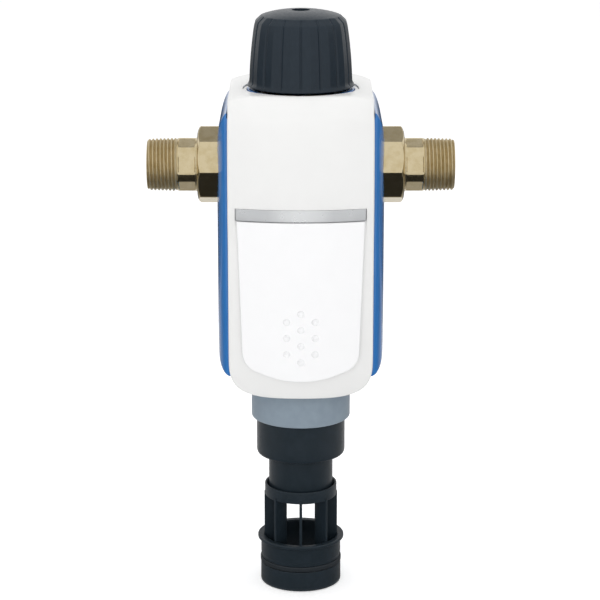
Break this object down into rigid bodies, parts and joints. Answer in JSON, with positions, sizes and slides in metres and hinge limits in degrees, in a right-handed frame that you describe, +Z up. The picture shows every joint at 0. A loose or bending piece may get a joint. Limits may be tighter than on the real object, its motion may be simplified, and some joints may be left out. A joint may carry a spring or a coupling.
{
  "type": "backwash water filter",
  "caption": "Backwash water filter for a house main: threaded union ends, clear bowl behind a sliding cover, fluted handwheel on top and a caged drain outlet below.",
  "frame": {"origin": "middle of the pipe run, on the axis of the inlet and outlet and on the axis of the bowl", "axes": "+X along the pipe run from inlet to outlet, -Y the front with the cover, +Z up towards the handwheel"},
  "size_m": [0.1906, 0.1094, 0.3718],
  "materials": {
    "white_plastic": "glossy",
    "blue_plastic": "glossy",
    "black_plastic": "satin",
    "grey_plastic": "satin",
    "clear_plastic": "clear, polished",
    "silver_trim": "satin, bright edge",
    "nut_brass": "machined",
    "cast_brass": "as cast",
    "steel": "machined stainless",
    "screen_steel": "fine woven mesh",
    "acetal": "moulded",
    "black_rubber": "moulded",
    "fibre_gasket": "pressed fibre"
  },
  "bodies": {
    "housing": {"head_body": "cast_brass", "gland_nut": "nut_brass", "gland_bush": "acetal", "seal_support": "acetal", "spindle_seal_lower": "black_rubber", "spindle_seal_upper": "black_rubber", "gasket_left": "fibre_gasket", "gasket_right": "fibre_gasket", "pipe_tail_left": "nut_brass", "pipe_tail_right": "nut_brass", "union_nut_left": "nut_brass", "union_nut_right": "nut_brass", "side_shell_left": "blue_plastic", "side_shell_right": "blue_plastic", "front_cover": "white_plastic", "trim_strip": "silver_trim", "cover_screw_1": "steel", "cover_screw_2": "steel", "cover_screw_3": "steel", "cover_screw_4": "steel", "base_ring": "blue_plastic", "filter_screen": "screen_steel", "screen_frame_top": "black_plastic", "screen_frame_bottom": "black_plastic", "bowl": "clear_plastic", "bowl_seal": "black_rubber", "bowl_nut": "black_plastic", "collar_ring": "grey_plastic", "valve_housing": "black_plastic", "valve_housing_seal": "black_rubber", "drain_cage": "black_plastic", "spigot_seal": "black_rubber"},
    "handwheel": {"handwheel": "black_plastic", "handwheel_screw": "steel", "spindle": "steel", "suction_rotor": "acetal"},
    "flush_valve": {"valve_plug": "acetal", "valve_seal": "black_rubber"},
    "interval_ring": {"interval_ring": "white_plastic"},
    "inspection_slider": {"inspection_slider": "white_plastic"}
  },
  "joints": [
    {"name": "handwheel_turn", "type": "hinge", "parent": "housing", "child": "handwheel", "pos_m": [0, 0, 0.07], "axis": [0, 0, 1], "range_deg": [0, 720]},
    {"name": "flush_valve_stroke", "type": "slide", "parent": "housing", "child": "flush_valve", "axis": [0, 0, -1], "range_m": [0, 0.006]},
    {"name": "interval_ring_turn", "type": "hinge", "parent": "housing", "child": "interval_ring", "pos_m": [0, 0, 0.045], "axis": [0, 0, 1], "continuous": true},
    {"name": "inspection_slide", "type": "slide", "parent": "housing", "child": "inspection_slider", "axis": [0, 0, -1], "range_m": [0, 0.045]}
  ],
  "couplings": [
    {"joint": "flush_valve_stroke", "follows": "handwheel_turn", "m_per_rad": 0.000477}
  ]
}
